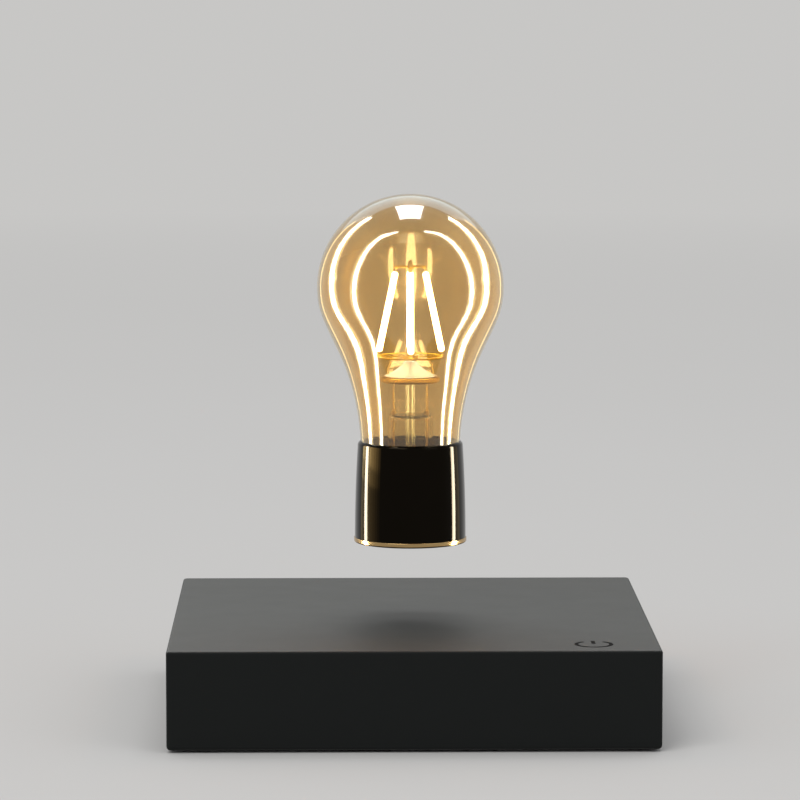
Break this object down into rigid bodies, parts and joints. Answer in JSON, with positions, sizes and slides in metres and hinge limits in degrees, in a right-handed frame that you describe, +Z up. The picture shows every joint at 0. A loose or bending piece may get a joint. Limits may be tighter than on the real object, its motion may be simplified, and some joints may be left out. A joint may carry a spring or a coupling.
{
  "type": "levitating lamp",
  "caption": "Table lamp with a clear amber filament bulb in a mirror black cap that floats above a square matte black base, fed through the gap by induction.",
  "frame": {"origin": "centre of the base, at the height of the table that its feet stand on", "axes": "+Z up through the floating bulb, -Y towards the front with the touch mark, +Y towards the power inlet"},
  "size_m": [0.152, 0.152, 0.1669],
  "materials": {
    "matte_black": "fine matte black, slightly textured",
    "plate_black": "plain matte black",
    "foot_rubber": "soft dark grey rubber",
    "screw_steel": "zinc-plated steel",
    "board_green": "green circuit board with solder mask",
    "chip_black": "moulded black chip body",
    "can_aluminium": "aluminium can",
    "choke_copper": "enamelled copper wire",
    "socket_black": "moulded black socket",
    "pin_nickel": "nickel-plated pin",
    "frame_white": "natural white moulding",
    "magnet_nickel": "nickel-plated magnet",
    "core_iron": "soft iron",
    "coil_copper": "stranded copper wire",
    "pad_copper": "bare copper foil",
    "spring_steel": "plated spring wire",
    "amber_glass": "clear amber glass, polished",
    "clear_glass": "clear glass",
    "black_chrome": "polished black chrome mirror",
    "rim_brass": "polished brass",
    "cap_black": "matte black disc",
    "ferrite": "dark ferrite sheet",
    "gasket": "black silicone rubber",
    "lead_nickel": "nickel wire, warm tone",
    "ring_brass": "gilt metal",
    "reflector_white": "white reflector",
    "filament_phosphor": "glowing phosphor coating"
  },
  "bodies": {
    "base": {"base_cover": "matte_black", "bottom_plate": "plate_black", "rubber_feet": "foot_rubber", "plate_screws": "screw_steel", "board_screws": "screw_steel", "main_board": "board_green", "control_chip": "chip_black", "power_transistors": "chip_black", "filter_capacitors": "can_aluminium", "choke": "choke_copper", "dc_jack": "socket_black", "dc_jack_pin": "pin_nickel", "magnet_frame": "frame_white", "levitation_magnets": "magnet_nickel", "coil_cores": "core_iron", "coil_bobbins": "frame_white", "coil_windings": "coil_copper", "sensor_board": "board_green", "hall_sensors": "chip_black", "coil_carrier": "frame_white", "transmitter_coil": "coil_copper", "touch_pad": "pad_copper", "touch_spring": "spring_steel"},
    "float": {"float_magnet": "magnet_nickel"},
    "bulb": {"glass_globe": "amber_glass", "cap_shell": "black_chrome", "cap_rim": "rim_brass", "cap_plate": "cap_black", "receiver_coil": "coil_copper", "ferrite_sheet": "ferrite", "magnet_holder": "frame_white", "cap_spacer": "frame_white", "rectifier_board": "board_green", "rectifier_diodes": "chip_black", "smoothing_capacitor": "can_aluminium", "neck_gasket": "gasket", "glass_stem": "clear_glass", "exhaust_tube": "clear_glass", "support_rod": "clear_glass", "top_bead": "clear_glass", "lower_ring": "ring_brass", "ring_struts": "lead_nickel", "reflector_disc": "ring_brass", "reflector_cone": "reflector_white", "lead_wires": "lead_nickel", "top_crown": "ring_brass", "filament_right": "filament_phosphor", "filament_back": "filament_phosphor", "filament_left": "filament_phosphor", "filament_front": "filament_phosphor", "filament_tabs": "lead_nickel"}
  },
  "joints": [
    {"name": "bulb_lift", "type": "slide", "parent": "base", "child": "float", "axis": [0, 0, 1], "range_m": [-0.0228, 0.09], "stiffness_N_per_m": 40, "springref_m": 0.02954},
    {"name": "bulb_spin", "type": "hinge", "parent": "float", "child": "bulb", "pos_m": [0, 0, 0.065], "axis": [0, 0, 1], "continuous": true}
  ]
}
